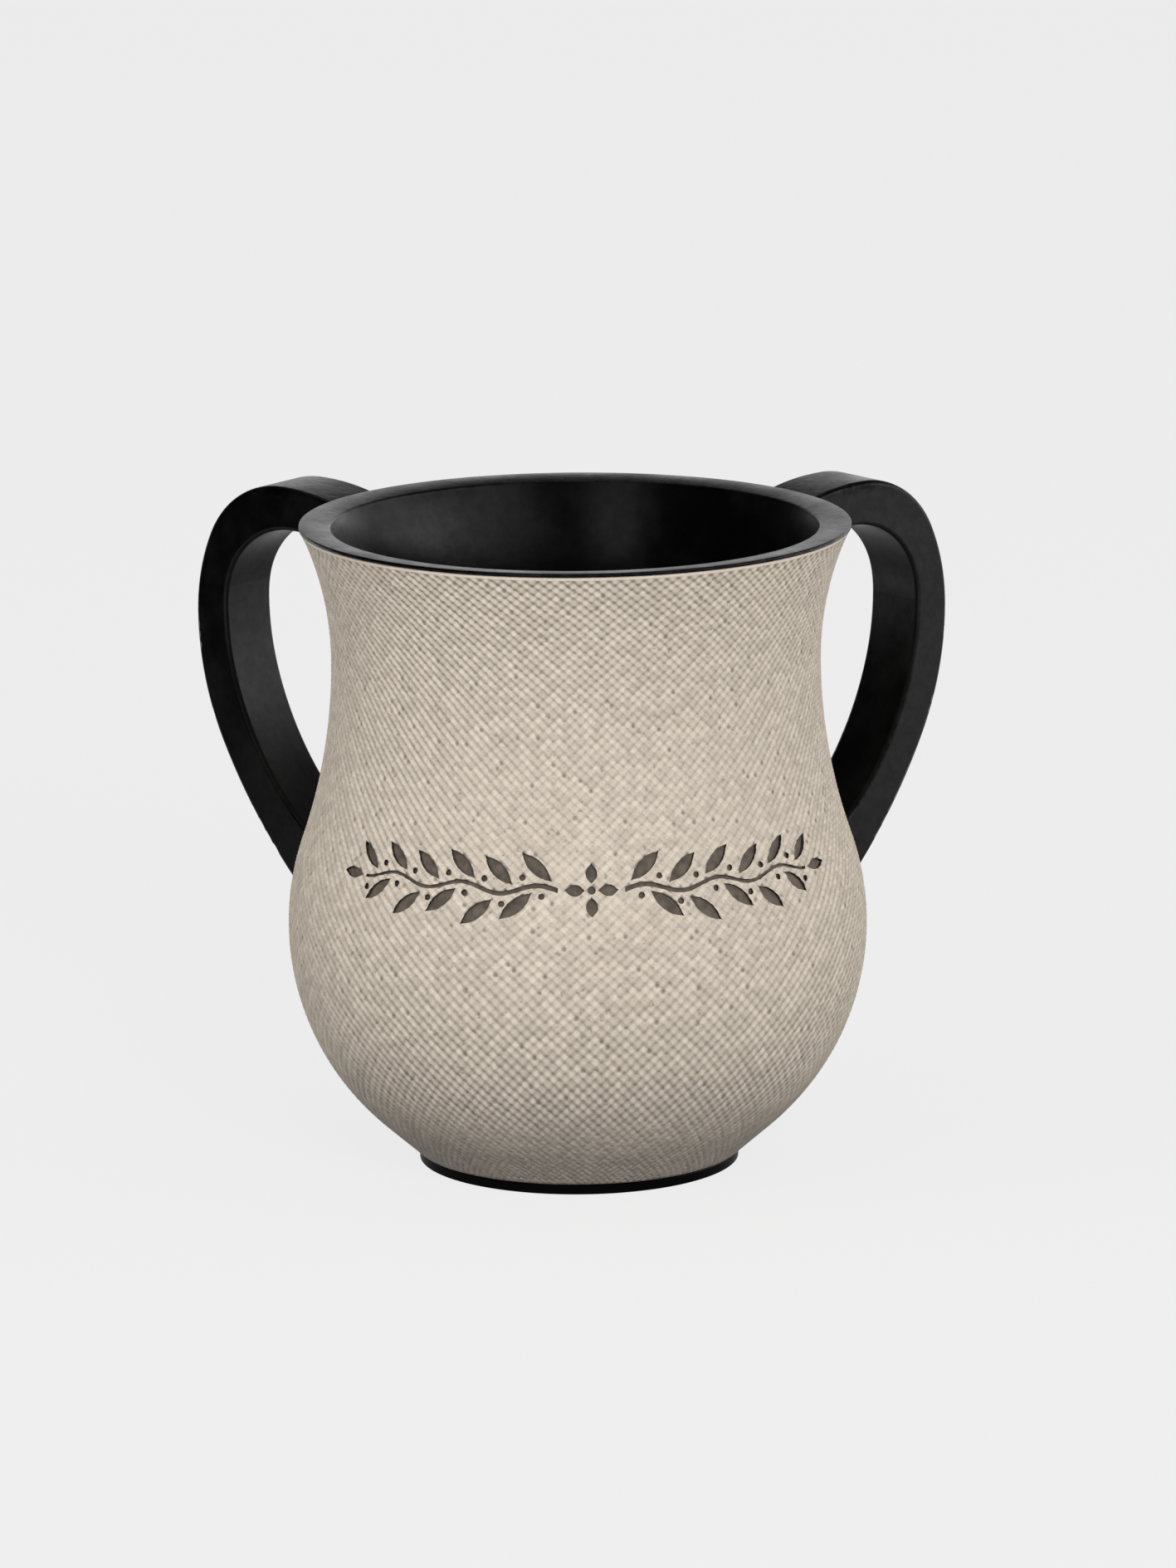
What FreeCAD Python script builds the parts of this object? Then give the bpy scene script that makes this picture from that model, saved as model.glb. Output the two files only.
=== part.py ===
import FreeCAD, Part
import math
import os
import re

import Sketcher

# A two handled washing cup, in millimetres and degrees. +Z is up, the cup's axis is Z, the table is
# at zero, and -Y is the front. A cast liner with a flat rim sits in a textured jacket on a turned foot.

SIZES = (
    # the cup's outline
    ("cup_height", 130.0),
    ("neck_radius", 49.0),
    ("rim_flare", 6.1),
    ("belly_swell", 9.2),
    ("base_radius", 32.9),
    ("neck_level_share", 0.788),
    ("belly_level_share", 0.372),
    ("belly_round_share", 0.965),
    # walls, rim and floor
    ("jacket_wall", 2.9),
    ("liner_wall", 2.7),
    ("bond_gap", 0.1),
    ("rim_depth", 0.7),
    ("rim_lip", 0.1),
    ("rim_outer_round", 0.3),
    ("rim_inner_round", 0.6),
    ("web_thickness", 3.2),
    ("web_width", 8.8),
    ("floor_thickness", 3.6),
    ("floor_round", 6.0),
    # foot and pad
    ("foot_height", 2.2),
    ("foot_step", 0.7),
    ("foot_round", 0.5),
    ("foot_ring", 5.0),
    ("pad_thickness", 1.2),
    # handles: each round of a face is a share of the cup's height
    ("band_width", 15.0),
    ("band_round", 0.9),
    ("handle_sweep", 37.0),
    ("handle_standoff", 35.8),
    ("side_level_share", 0.793),
    ("side_thickness", 7.8),
    ("inner_rise", 1.6),
    ("outer_back_share", 0.38),
    ("outer_crown_share", 0.151),
    ("outer_upper_share", 0.303),
    ("outer_upper_turn", 25.0),
    ("outer_lower_share", 0.466),
    ("outer_lower_turn", 25.8),
    ("outer_run_share", 0.881),
    ("inner_back_share", 0.391),
    ("inner_crown_share", 0.125),
    ("inner_upper_share", 0.181),
    ("inner_upper_turn", 9.7),
    ("inner_lower_share", 0.409),
    ("inner_lower_turn", 15.5),
    ("inner_run_share", 0.495),
    # dowel pins
    ("pin_radius", 1.5),
    ("pin_reach", 8.6),
    ("pin_tip_gap", 0.3),
    ("upper_pin_bite", 6.0),
    ("upper_pin_level_share", 0.962),
    ("upper_pin_tilt", 15.4),
    ("lower_pin_bite", 5.0),
    ("lower_pin_level_share", 0.375),
    ("lower_pin_tilt", 39.5),
    # how far a cut runs past what it cuts
    ("overrun", 2.0),
)

RIM_RADIUS = "(neck_radius + rim_flare)"
BELLY_RADIUS = "(neck_radius + belly_swell)"
FLARE_RADIUS = "(neck_radius + rim_flare - rim_lip)"
RIM_UNDERSIDE = "(cup_height - rim_depth)"
NECK_LEVEL = "(cup_height * neck_level_share)"
BELLY_LEVEL = "(cup_height * belly_level_share)"
BELLY_OVERHANG = "(neck_radius + belly_swell - base_radius)"
BELLY_RISE = "(cup_height * belly_level_share - foot_height)"
LINER_INSET = "(jacket_wall + bond_gap)"
BORE_INSET = "(jacket_wall + bond_gap + liner_wall)"
WEB_TOP = "(foot_height + web_thickness)"
FLOOR_TOP = "(foot_height + web_thickness + floor_thickness)"
WEB_BORE = "(base_radius - web_width)"
FOOT_RADIUS = "(base_radius - foot_step)"
PAD_RADIUS = "(base_radius - foot_step - foot_ring)"

# the belly's round: a share of the one arc that would reach from the belly down to the foot
WHOLE_BELLY_ROUND = f"(({BELLY_OVERHANG}^2 + {BELLY_RISE}^2) / {BELLY_OVERHANG} / 2)"
BELLY_ROUND = f"({WHOLE_BELLY_ROUND} * belly_round_share)"

# each handle's turn about the cup's axis
HANDLES = {
    "right": "handle_sweep",
    "left": "(180 - handle_sweep)",
}

# each pin's seat on the outside of the cup: its reach and its level
PIN_SEATS = {
    "upper": (FLARE_RADIUS, "cup_height * upper_pin_level_share"),
    "lower": (BELLY_RADIUS, "cup_height * lower_pin_level_share"),
}

# the rounds of a handle's face, from the rim over the crown to the belly
BOW_PARTS = ("back", "crown", "upper", "lower", "run")

# how a sketch counts the points of an edge, and its own axes
START, END, CENTRE = range(1, 4)
UPRIGHT_AXIS, LEVEL_AXIS = range(-2, 0)
ORIGIN = (LEVEL_AXIS, START)

UP = FreeCAD.Vector(0, 0, 1)
SKETCH_UP = FreeCAD.Vector(0, 1, 0)
FULL_TURN = 360
SAME_LEVEL_SHARE = 1e-4


def on_sheet(sizes):
    """An expression in plain size names, as the document reads it."""
    return re.sub(r"[a-z_]+", lambda word: "Sizes." + word.group(), sizes)


def make_sheet(doc):
    sheet = doc.addObject("Spreadsheet::Sheet", "Sizes")
    for row, (name, size) in enumerate(SIZES, start=1):
        sheet.set(f"A{row}", name)
        sheet.set(f"B{row}", str(size))
        sheet.setAlias(f"B{row}", name)
    doc.recompute()


def new_body(doc, label):
    body = doc.addObject("PartDesign::Body", label)
    body.Label = label
    return body


class Drawing:
    """A sketch on a body's upright plane: x is the distance from the cup's axis, y the level."""

    def __init__(self, body, name, turn=None):
        self.sketch = body.newObject("Sketcher::SketchObject", name)
        plane = [flat for flat in body.Origin.OriginFeatures if flat.Role == "XZ_Plane"]
        self.sketch.AttachmentSupport = (plane[0], [""])
        self.sketch.MapMode = "FlatFace"
        if turn:
            self.sketch.AttachmentOffset = FreeCAD.Placement(
                FreeCAD.Vector(), FreeCAD.Rotation(SKETCH_UP, self.value(turn))
            )
            self.sketch.setExpression("AttachmentOffset.Rotation.Angle", on_sheet(turn))

    def value(self, sizes):
        return float(self.sketch.evalExpression(on_sheet(sizes)))

    def rule(self, kind, *places, sizes=None):
        if sizes is None:
            self.sketch.addConstraint(Sketcher.Constraint(kind, *places))
            return
        amount = self.value(sizes)
        if kind == "Angle":
            amount = math.radians(amount)
        number = self.sketch.addConstraint(Sketcher.Constraint(kind, *places, amount))
        self.sketch.setExpression(f"Constraints[{number}]", on_sheet(sizes))

    def join(self, spot, other):
        self.rule("Coincident", *spot, *other)

    def reach(self, spot, sizes):
        if sizes == "0":
            self.rule("PointOnObject", *spot, UPRIGHT_AXIS)
        else:
            self.rule("DistanceX", *ORIGIN, *spot, sizes=sizes)

    def level(self, spot, sizes):
        if sizes == "0":
            self.rule("PointOnObject", *spot, LEVEL_AXIS)
        else:
            self.rule("DistanceY", *ORIGIN, *spot, sizes=sizes)

    def arc(self, centre, radius, first, last, helper=False):
        """A round edge, counterclockwise from the first angle to the last, in radians."""
        circle = Part.Circle(FreeCAD.Vector(*centre, 0), UP, radius)
        return self.sketch.addGeometry(Part.ArcOfCircle(circle, first, last), helper)

    def line(self, start, end, helper=False):
        edge = Part.LineSegment(FreeCAD.Vector(*start, 0), FreeCAD.Vector(*end, 0))
        return self.sketch.addGeometry(edge, helper)

    def where(self, stop):
        if isinstance(stop[0], str):
            return self.value(stop[0]), self.value(stop[1])
        spot = self.sketch.getPoint(*stop)
        return spot.x, spot.y

    def hold(self, spot, stop):
        if isinstance(stop[0], str):
            self.reach(spot, stop[0])
            self.level(spot, stop[1])
        else:
            self.join(spot, stop)

    def path(self, *stops):
        """Straight edges from stop to stop. A stop is a pair of sizes, or the end of an edge."""
        edges = [self.line(self.where(a), self.where(b)) for a, b in zip(stops, stops[1:])]
        self.hold((edges[0], START), stops[0])
        for edge, following, stop in zip(edges, edges[1:], stops[1:]):
            self.join((edge, END), (following, START))
            self.hold((following, START), stop)
        if stops[-1] is stops[0]:
            self.join((edges[-1], END), (edges[0], START))
        else:
            self.hold((edges[-1], END), stops[-1])


def wall_circles(drawing):
    """The three tangent circles of the outside, belly, waist and flare: each centre and radius."""
    belly, belly_level = drawing.value(BELLY_RADIUS), drawing.value(BELLY_LEVEL)
    neck, neck_level = drawing.value("neck_radius"), drawing.value(NECK_LEVEL)
    top, top_level = drawing.value(FLARE_RADIUS), drawing.value(RIM_UNDERSIDE)
    belly_round = drawing.value(BELLY_ROUND)
    flare_round = ((top - neck) ** 2 + (top_level - neck_level) ** 2) / (2 * (top - neck))
    across = neck - belly + belly_round
    rise = neck_level - belly_level
    waist_round = (across**2 + rise**2 - belly_round**2) / (2 * (belly - neck))
    return {
        "belly": ((belly - belly_round, belly_level), belly_round),
        "waist": ((neck + waist_round, neck_level), waist_round),
        "flare": ((neck + flare_round, neck_level), flare_round),
    }


def wall_edges(drawing, inset, low, high, helper=False):
    """The slope over the foot, the belly in two edges, the waist and the flare, from low to high."""
    circles = wall_circles(drawing)
    depth, bottom, top = (drawing.value(sizes) for sizes in (inset, low, high))
    (belly_x, belly_level), belly_round = circles["belly"]
    (waist_x, neck_level), waist_round = circles["waist"]
    flare_round = circles["flare"][1]
    base_x = drawing.value("base_radius") - belly_x
    base_y = drawing.value("foot_height") - belly_level
    first = math.atan2(base_y, base_x) + math.acos(belly_round / math.hypot(base_x, base_y))
    slope_x = belly_x + (belly_round - depth) * math.cos(first)
    slope_y = belly_level + (belly_round - depth) * math.sin(first)
    start_x = slope_x + (slope_y - bottom) * math.tan(first)
    turn = math.atan2(neck_level - belly_level, waist_x - belly_x)
    last = math.asin((top - neck_level) / (flare_round + depth))
    return (
        drawing.line((start_x, bottom), (slope_x, slope_y), helper),
        drawing.arc(circles["belly"][0], belly_round - depth, first, 0, helper),
        drawing.arc(circles["belly"][0], belly_round - depth, 0, turn, helper),
        drawing.arc(circles["waist"][0], waist_round + depth, math.pi, math.pi + turn, helper),
        drawing.arc(circles["flare"][0], flare_round + depth, math.pi - last, math.pi, helper),
    )


def draw_outside(drawing, helper):
    """The cup's outside: a slope over the foot, then tangent arcs by the belly, the neck and the rim."""
    edges = wall_edges(drawing, "0", "foot_height", RIM_UNDERSIDE, helper)
    slope, lower, upper, waist, flare = edges
    drawing.join((lower, CENTRE), (upper, CENTRE))
    drawing.join((lower, END), (upper, START))
    drawing.rule("Tangent", upper, END, waist, END)
    drawing.rule("Tangent", waist, START, flare, END)
    drawing.hold((slope, START), ("base_radius", "foot_height"))
    drawing.rule("Tangent", slope, END, lower, START)
    drawing.rule("Radius", lower, sizes=BELLY_ROUND)
    drawing.hold((lower, END), (BELLY_RADIUS, BELLY_LEVEL))
    drawing.rule("Horizontal", lower, CENTRE, lower, END)
    drawing.hold((waist, START), ("neck_radius", NECK_LEVEL))
    drawing.rule("Horizontal", waist, CENTRE, waist, START)
    drawing.hold((flare, START), (FLARE_RADIUS, RIM_UNDERSIDE))
    return edges


def draw_inset(drawing, outside, inset, low, high):
    """The same slope, and the same arcs about the same centres, a wall further in."""
    edges = wall_edges(drawing, inset, low, high)
    slope, lower, upper, waist, flare = edges
    for edge, outer in zip(edges[1:], outside[1:]):
        drawing.join((edge, CENTRE), (outer, CENTRE))
    drawing.level((slope, START), low)
    drawing.rule("Parallel", slope, outside[0])
    drawing.rule("Tangent", slope, END, lower, START)
    drawing.hold((lower, END), (f"{BELLY_RADIUS} - {inset}", BELLY_LEVEL))
    drawing.join((lower, END), (upper, START))
    drawing.rule("Tangent", upper, END, waist, END)
    drawing.level((waist, START), NECK_LEVEL)
    drawing.join((waist, START), (flare, END))
    drawing.level((flare, START), high)
    return edges


def turn_solid(body, drawing, axis="V_Axis"):
    """Revolves a drawing into solid."""
    feature = body.newObject("PartDesign::Revolution", drawing.sketch.Name + "_turned")
    feature.Profile = drawing.sketch
    feature.ReferenceAxis = (drawing.sketch, [axis])
    feature.Angle = FULL_TURN
    body.Document.recompute()


def turn_away(body, drawing, axis="V_Axis"):
    """Revolves a drawing and takes it away, and checks that it cut something."""
    before = body.Shape.Volume
    feature = body.newObject("PartDesign::Groove", drawing.sketch.Name + "_cut")
    feature.Profile = drawing.sketch
    feature.ReferenceAxis = (drawing.sketch, [axis])
    feature.Angle = FULL_TURN
    body.Document.recompute()
    if not body.Shape.Volume < before:
        raise RuntimeError(f"{feature.Name} cuts nothing")


def ring_edge(shape, level, choose):
    """Name of the widest or the narrowest round edge at a level."""
    rings = {}
    for number, edge in enumerate(shape.Edges, start=1):
        curve = edge.Curve
        if not isinstance(curve, Part.Circle):
            continue
        if abs(curve.Center.z - level) < SAME_LEVEL_SHARE * level:
            rings[curve.Radius] = f"Edge{number}"
    return rings[choose(rings)]


def round_edges(body, name, edges, sizes):
    """Rounds the named edges of the body's last feature."""
    last = body.Tip
    feature = body.newObject("PartDesign::Fillet", name)
    feature.Base = (last, edges)
    feature.setExpression("Radius", on_sheet(sizes))
    body.Document.recompute()


def round_ring(body, name, level, choose, sizes):
    """Rounds the widest or the narrowest round edge of a turned piece at a level."""
    height = float(body.evalExpression(on_sheet(level)))
    round_edges(body, name, [ring_edge(body.Shape, height, choose)], sizes)


def draw_pin(drawing, seat, growth="0", gap="0"):
    """Half of a pin, or of its wider and longer hole, on a slanted line through its seat."""
    reach, level = PIN_SEATS[seat]
    tilt, bite = f"{seat}_pin_tilt", f"{seat}_pin_bite + {gap}"
    angle = math.radians(drawing.value(tilt))
    along = FreeCAD.Vector(math.cos(angle), math.sin(angle), 0)
    beside = FreeCAD.Vector(-along.y, along.x, 0)
    spot = FreeCAD.Vector(drawing.value(reach), drawing.value(level), 0)
    inner = spot - along * drawing.value(bite)
    outer = spot + along * drawing.value(f"pin_reach + {gap}")
    side = beside * drawing.value(f"pin_radius + {growth}")
    corners = [(p.x, p.y) for p in (inner, outer, outer + side, inner + side)]
    middle = drawing.line(corners[0], corners[1], helper=True)
    seat_point = drawing.sketch.addGeometry(Part.Point(spot), True)
    edges = [drawing.line(a, b) for a, b in zip(corners, corners[1:] + corners[:1])]
    for edge, following in zip(edges, edges[1:] + edges[:1]):
        drawing.join((edge, END), (following, START))
    for edge, following in zip(edges, edges[1:]):
        drawing.rule("Perpendicular", edge, following)
    drawing.join((middle, START), (edges[0], START))
    drawing.join((middle, END), (edges[0], END))
    drawing.hold((seat_point, START), (reach, level))
    drawing.rule("PointOnObject", seat_point, START, middle)
    drawing.rule("Angle", middle, sizes=tilt)
    drawing.rule("Distance", seat_point, START, middle, START, sizes=bite)
    drawing.rule("Distance", seat_point, START, middle, END, sizes=f"pin_reach + {gap}")
    drawing.rule("Distance", edges[1], START, edges[1], END, sizes=f"pin_radius + {growth}")


def drill(body, name, seat, turn=None):
    """A hole for one pin, with its clearance."""
    drawing = Drawing(body, f"{body.Name}_{name}_hole", turn)
    draw_pin(drawing, seat, growth="bond_gap", gap="pin_tip_gap")
    turn_away(body, drawing, axis="Axis0")


def drill_wall(body):
    """The four holes that the handles' pins pass into the wall by."""
    for side_name, turn in HANDLES.items():
        for seat in PIN_SEATS:
            drill(body, f"{side_name}_{seat}", seat, turn)


def make_jacket(doc):
    """The textured shell, with a web at its bottom that carries the liner."""
    body = new_body(doc, "jacket")
    drawing = Drawing(body, "jacket_section")
    outside = draw_outside(drawing, helper=False)
    inside = draw_inset(drawing, outside, "jacket_wall", WEB_TOP, RIM_UNDERSIDE)
    bore = f"{WEB_BORE} + bond_gap"
    drawing.path((outside[-1], START), (inside[-1], START))
    drawing.path((inside[0], START), (bore, WEB_TOP), (bore, "foot_height"), (outside[0], START))
    turn_solid(body, drawing)
    drill_wall(body)
    return body


def make_liner(doc):
    """The inner vessel, with its flat rim over the jacket's edge."""
    body = new_body(doc, "inner_cup")
    drawing = Drawing(body, "inner_cup_section")
    outside = draw_outside(drawing, helper=True)
    back = draw_inset(drawing, outside, LINER_INSET, WEB_TOP, RIM_UNDERSIDE)
    bore = draw_inset(drawing, outside, BORE_INSET, FLOOR_TOP, "cup_height")
    drawing.path(
        (back[-1], START),
        (RIM_RADIUS, RIM_UNDERSIDE),
        (RIM_RADIUS, "cup_height"),
        (bore[-1], START),
    )
    drawing.path((bore[0], START), ("0", FLOOR_TOP), ("0", WEB_TOP), (back[0], START))
    turn_solid(body, drawing)
    round_ring(body, "rim_outer_edge", "cup_height", max, "rim_outer_round")
    round_ring(body, "rim_inner_edge", "cup_height", min, "rim_inner_round")
    round_ring(body, "floor_edge", FLOOR_TOP, min, "floor_round")
    drill_wall(body)
    return body


def make_foot(doc):
    """The turned foot: a disc with a spigot above and a recess for the pad below."""
    body = new_body(doc, "foot")
    drawing = Drawing(body, "foot_section")
    recess = f"{PAD_RADIUS} + bond_gap"
    start = ("0", "pad_thickness")
    drawing.path(
        start,
        (recess, "pad_thickness"),
        (recess, "0"),
        (FOOT_RADIUS, "0"),
        (FOOT_RADIUS, "foot_height"),
        (WEB_BORE, "foot_height"),
        (WEB_BORE, WEB_TOP),
        ("0", WEB_TOP),
        start,
    )
    turn_solid(body, drawing)
    round_ring(body, "foot_edge", "foot_height", max, "foot_round")
    return body


def make_pad(doc):
    """The soft disc that the cup stands on, level with the foot's ring."""
    body = new_body(doc, "base_pad")
    drawing = Drawing(body, "base_pad_section")
    start = ("0", "0")
    drawing.path(
        start,
        (PAD_RADIUS, "0"),
        (PAD_RADIUS, "pad_thickness"),
        ("0", "pad_thickness"),
        start,
    )
    turn_solid(body, drawing)
    return body


def bow_edges(drawing, face, side, level):
    """One face of a handle: back, crown, upper side, lower side and run, each tangent to the next."""
    height = drawing.value("cup_height")
    radii = (drawing.value(f"{face}_{part}_share") * height for part in BOW_PARTS)
    back, crown, upper, lower, run = radii
    up = math.radians(drawing.value(f"{face}_upper_turn"))
    down = -math.radians(drawing.value(f"{face}_lower_turn"))
    root = drawing.value("neck_radius - overrun")
    upper_x, lower_x = side - upper, side - lower
    crown_x = upper_x + (upper - crown) * math.cos(up)
    crown_y = level + (upper - crown) * math.sin(up)
    back_y = crown_y + crown - back
    run_x = lower_x + (lower - run) * math.cos(down)
    run_y = level + (lower - run) * math.sin(down)
    return (
        drawing.arc((crown_x, back_y), back, math.pi / 2, math.acos((root - crown_x) / back)),
        drawing.arc((crown_x, crown_y), crown, up, math.pi / 2),
        drawing.arc((upper_x, level), upper, 0, up),
        drawing.arc((lower_x, level), lower, down, 0),
        drawing.arc((run_x, run_y), run, -math.acos((root - run_x) / run), down),
    )


def draw_bow(drawing, face, side, level):
    """A handle's face, drawn from its widest point up to the rim and down to the belly."""
    edges = bow_edges(drawing, face, drawing.value(side), drawing.value(level))
    back, crown, upper, lower, run = edges
    drawing.rule("Tangent", back, START, crown, END)
    drawing.rule("Tangent", crown, START, upper, END)
    drawing.rule("Tangent", upper, START, lower, END)
    drawing.rule("Tangent", lower, START, run, END)
    drawing.rule("Vertical", crown, CENTRE, crown, END)
    drawing.rule("Horizontal", upper, CENTRE, upper, START)
    drawing.hold((upper, START), (side, level))
    for edge, part in zip(edges, BOW_PARTS):
        drawing.rule("Radius", edge, sizes=f"{face}_{part}_share * cup_height")
    drawing.rule("Angle", upper, sizes=f"{face}_upper_turn")
    drawing.rule("Angle", lower, sizes=f"{face}_lower_turn")
    drawing.reach((back, END), "neck_radius - overrun")
    drawing.reach((run, START), "neck_radius - overrun")
    return edges


def curved_edges(shape):
    """Names of the long curved edges on both sides of a handle's band."""
    edges = enumerate(shape.Edges, start=1)
    return [f"Edge{number}" for number, edge in edges if isinstance(edge.Curve, Part.Circle)]


def bed_handle(body):
    """Takes the cup's own outside, with the bond gap round it, off the roots of a handle."""
    drawing = Drawing(body, f"{body.Name}_bed")
    outside = draw_outside(drawing, helper=True)
    step = f"{RIM_UNDERSIDE} - bond_gap"
    bed = draw_inset(drawing, outside, "(0 - bond_gap)", "foot_height", step)
    clear = "(cup_height + cup_height * outer_crown_share)"
    drawing.path(
        (bed[-1], START),
        (f"{RIM_RADIUS} + bond_gap", step),
        (f"{RIM_RADIUS} + bond_gap", clear),
        ("0", clear),
        ("0", "foot_height"),
        (bed[0], START),
    )
    turn_away(body, drawing)


def make_handle(doc, side_name, turn):
    """A flat band bent into a bow, bedded on the rim and flare above and on the belly below."""
    body = new_body(doc, f"{side_name}_handle")
    drawing = Drawing(body, f"{body.Name}_bow")
    side = f"{RIM_RADIUS} + handle_standoff"
    level = "cup_height * side_level_share"
    outer = draw_bow(drawing, "outer", side, level)
    inner = draw_bow(drawing, "inner", f"{side} - side_thickness", f"{level} + inner_rise")
    drawing.path((outer[0], END), (inner[0], END))
    drawing.path((outer[4], START), (inner[4], START))
    pad = body.newObject("PartDesign::Pad", f"{body.Name}_band")
    pad.Profile = drawing.sketch
    pad.SideType = "Symmetric"
    pad.setExpression("Length", on_sheet("band_width"))
    doc.recompute()
    round_edges(body, f"{body.Name}_edges", curved_edges(pad.Shape), "band_round")
    bed_handle(body)
    for seat in PIN_SEATS:
        drill(body, seat, seat)
    sweep_round(body, turn)
    return body


def make_pin(doc, side_name, seat, turn):
    """A dowel that holds one root of a handle to the wall."""
    body = new_body(doc, f"{side_name}_{seat}_pin")
    drawing = Drawing(body, f"{body.Name}_section")
    draw_pin(drawing, seat)
    turn_solid(body, drawing, axis="Axis0")
    sweep_round(body, turn)
    return body


def sweep_round(body, turn):
    """Turns a piece about the cup's axis to its side of the cup."""
    angle = float(body.evalExpression(on_sheet(turn)))
    body.Placement = FreeCAD.Placement(FreeCAD.Vector(), FreeCAD.Rotation(UP, angle))
    body.setExpression("Placement.Rotation.Angle", on_sheet(turn))


def check(doc, pieces):
    doc.recompute()
    for item in doc.Objects:
        if "Invalid" in item.State or "Error" in item.State:
            raise RuntimeError(f"{item.Label} failed: {item.State}")
    for piece in pieces:
        shape = piece.Shape
        if shape.isNull() or not shape.isValid() or len(shape.Solids) != 1:
            raise RuntimeError(f"{piece.Label} is not one sound solid")


def main():
    doc = FreeCAD.newDocument("washing_cup")
    make_sheet(doc)
    pieces = [make_liner(doc), make_jacket(doc), make_foot(doc), make_pad(doc)]
    for side_name, turn in HANDLES.items():
        pieces.append(make_handle(doc, side_name, turn))
        for seat in PIN_SEATS:
            pieces.append(make_pin(doc, side_name, seat, turn))
    check(doc, pieces)
    os.makedirs("parts", exist_ok=True)
    for piece in pieces:
        piece.Shape.exportStep(f"parts/{piece.Label}.step")


main()
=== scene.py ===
import math
from collections import namedtuple

import bmesh
import bpy
from bpy.props import FloatProperty, FloatVectorProperty, IntProperty, PointerProperty
from mathutils import Matrix, Vector, noise


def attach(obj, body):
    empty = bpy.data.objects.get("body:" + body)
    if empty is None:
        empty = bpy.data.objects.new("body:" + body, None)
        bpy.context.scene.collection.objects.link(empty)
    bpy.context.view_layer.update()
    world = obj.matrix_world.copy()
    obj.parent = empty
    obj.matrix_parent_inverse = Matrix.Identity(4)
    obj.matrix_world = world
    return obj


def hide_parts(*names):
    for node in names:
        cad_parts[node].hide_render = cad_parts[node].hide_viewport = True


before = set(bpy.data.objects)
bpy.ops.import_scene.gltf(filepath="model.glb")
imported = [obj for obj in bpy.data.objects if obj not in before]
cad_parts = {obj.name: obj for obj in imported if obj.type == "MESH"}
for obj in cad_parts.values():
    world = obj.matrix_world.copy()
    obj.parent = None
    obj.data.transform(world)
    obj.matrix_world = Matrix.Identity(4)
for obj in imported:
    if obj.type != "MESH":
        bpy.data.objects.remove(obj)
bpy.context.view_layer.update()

bl_info = {
    "name": "Washing Cup",
    "version": (1, 0, 0),
    "blender": (4, 5, 0),
    "location": "3D View > Sidebar > Washing Cup",
    "description": "Dresses a two handled washing cup in woven stone and black resin",
    "category": "Object",
}

# Lengths are in metres, and turns in radians where nothing else is said. +Z is up, the cup's axis
# is Z, the table is at zero, and -Y is the front.

BODY = "root"
AXIS_FOOT = (0, 0, 0)
NO_SHIFT = (0, 0, 0)
MERGE_DISTANCE = 1e-7

# An arc of the wall: its centre's distance from the axis, its centre's level, and its radius.
Arc = namedtuple("Arc", "reach level radius")

# Steps along the wall: slope, lower belly, upper belly, waist and flare, each in equal stretches.
WEAVE_STEPS = ((9,), (11, 11, 12), (8, 8), (12, 12, 12), (14, 14))
JACKET_BACK_STEPS = ((2,), (4,), (2,), (4,), (3,))
LINER_STEPS = ((2,), (16,), (6,), (12,), (10,))

# Steps round the liner, and of the small rounds. The rim's are its inner edge, dome and outer edge.
LINER_ROUND_STEPS = 192
LIP_STEPS = 5
FLOOR_STEPS = 8
RIM_STEPS = (6, 12, 5)
RIM_TRIES = 4

# Where the look of the weave and the rim changes: levels, and places to the left of the axis. A
# pair of them runs from where a change begins to where it is whole. Rubbing shows in the colours
# from RUBBED_LEFT and in the mesh from FLATTENED_LEFT.
LEADING_LEVELS = (0.05, 0.11)
LEADING_SHARES = (0.50, 0.56)
RUBBED_FOOT_LEVELS = (0.024, 0.012)
RUBBED_LEFT = (-0.032, -0.052)
FLATTENED_LEFT = (-0.034, -0.070)
RUBBED_LEFT_SHARE = 0.5
RUBBED_CALM = 0.6
PALE_LIP_LEVELS = (0.105, 0.127)
# Painted shade: the wall darkens and greys towards the foot between these levels, its edge
# wandering by the next number.
FOOT_SHADE_LEVELS = (0.042, 0.014)
FOOT_SHADE_WANDER = 0.016
WORN_RIM_LEVELS = (0.1285, 0.1295)

# Scales of the noise that makes the beads uneven, and of the noise that the rows wander by, which
# needs a seed to come out the same each time.
UNEVEN_SCALE = 420
WANDER_SCALE = 70
NOISE_SEED = 1

# Fixed colours, as red, green, blue and one.
SMUDGE_COLOUR = (0.11, 0.092, 0.075, 1.0)
EDGE_COLOURS = ((0.012, 0.010, 0.009, 1.0), (0.06, 0.05, 0.042, 1.0))
STEEL_COLOURS = ((0.5, 0.5, 0.51, 1.0), (0.66, 0.66, 0.67, 1.0))
FLAG_COLOUR = (0.01, 0.01, 0.01, 1.0)

# The engraved branch. Its stem starts beside the middle, waves, and stops short of the reach.
STEM_START = 0.0066
STEM_SHORT = 0.0078
STEM_WIDTH = 0.0010
STEM_TAPER_SHARE = 0.45
STEM_WAVE = 0.0009
STEM_PITCH = 0.0156
LEAF_START = 0.0012
LEAVES_SHORT = 0.0105
LEAF_CLEAR = 0.0013
LEAF_LEAN = 0.72
LEAF_TAPER_SHARE = 0.2
TIP_LEAF_SHARES = (0.72, 0.8)
TIP_LEAF_CLEAR = 0.0008
BERRY_RADIUS = 0.00062
BERRY_AHEAD = 0.0020
BERRY_CLEAR = 0.0021
PETAL_LENGTH = 0.0040
PETAL_WIDTH = 0.0023
PETAL_CLEAR = 0.0013
MIDDLE_BERRY_RADIUS = 0.0008
STEM_STEPS = 64
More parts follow.
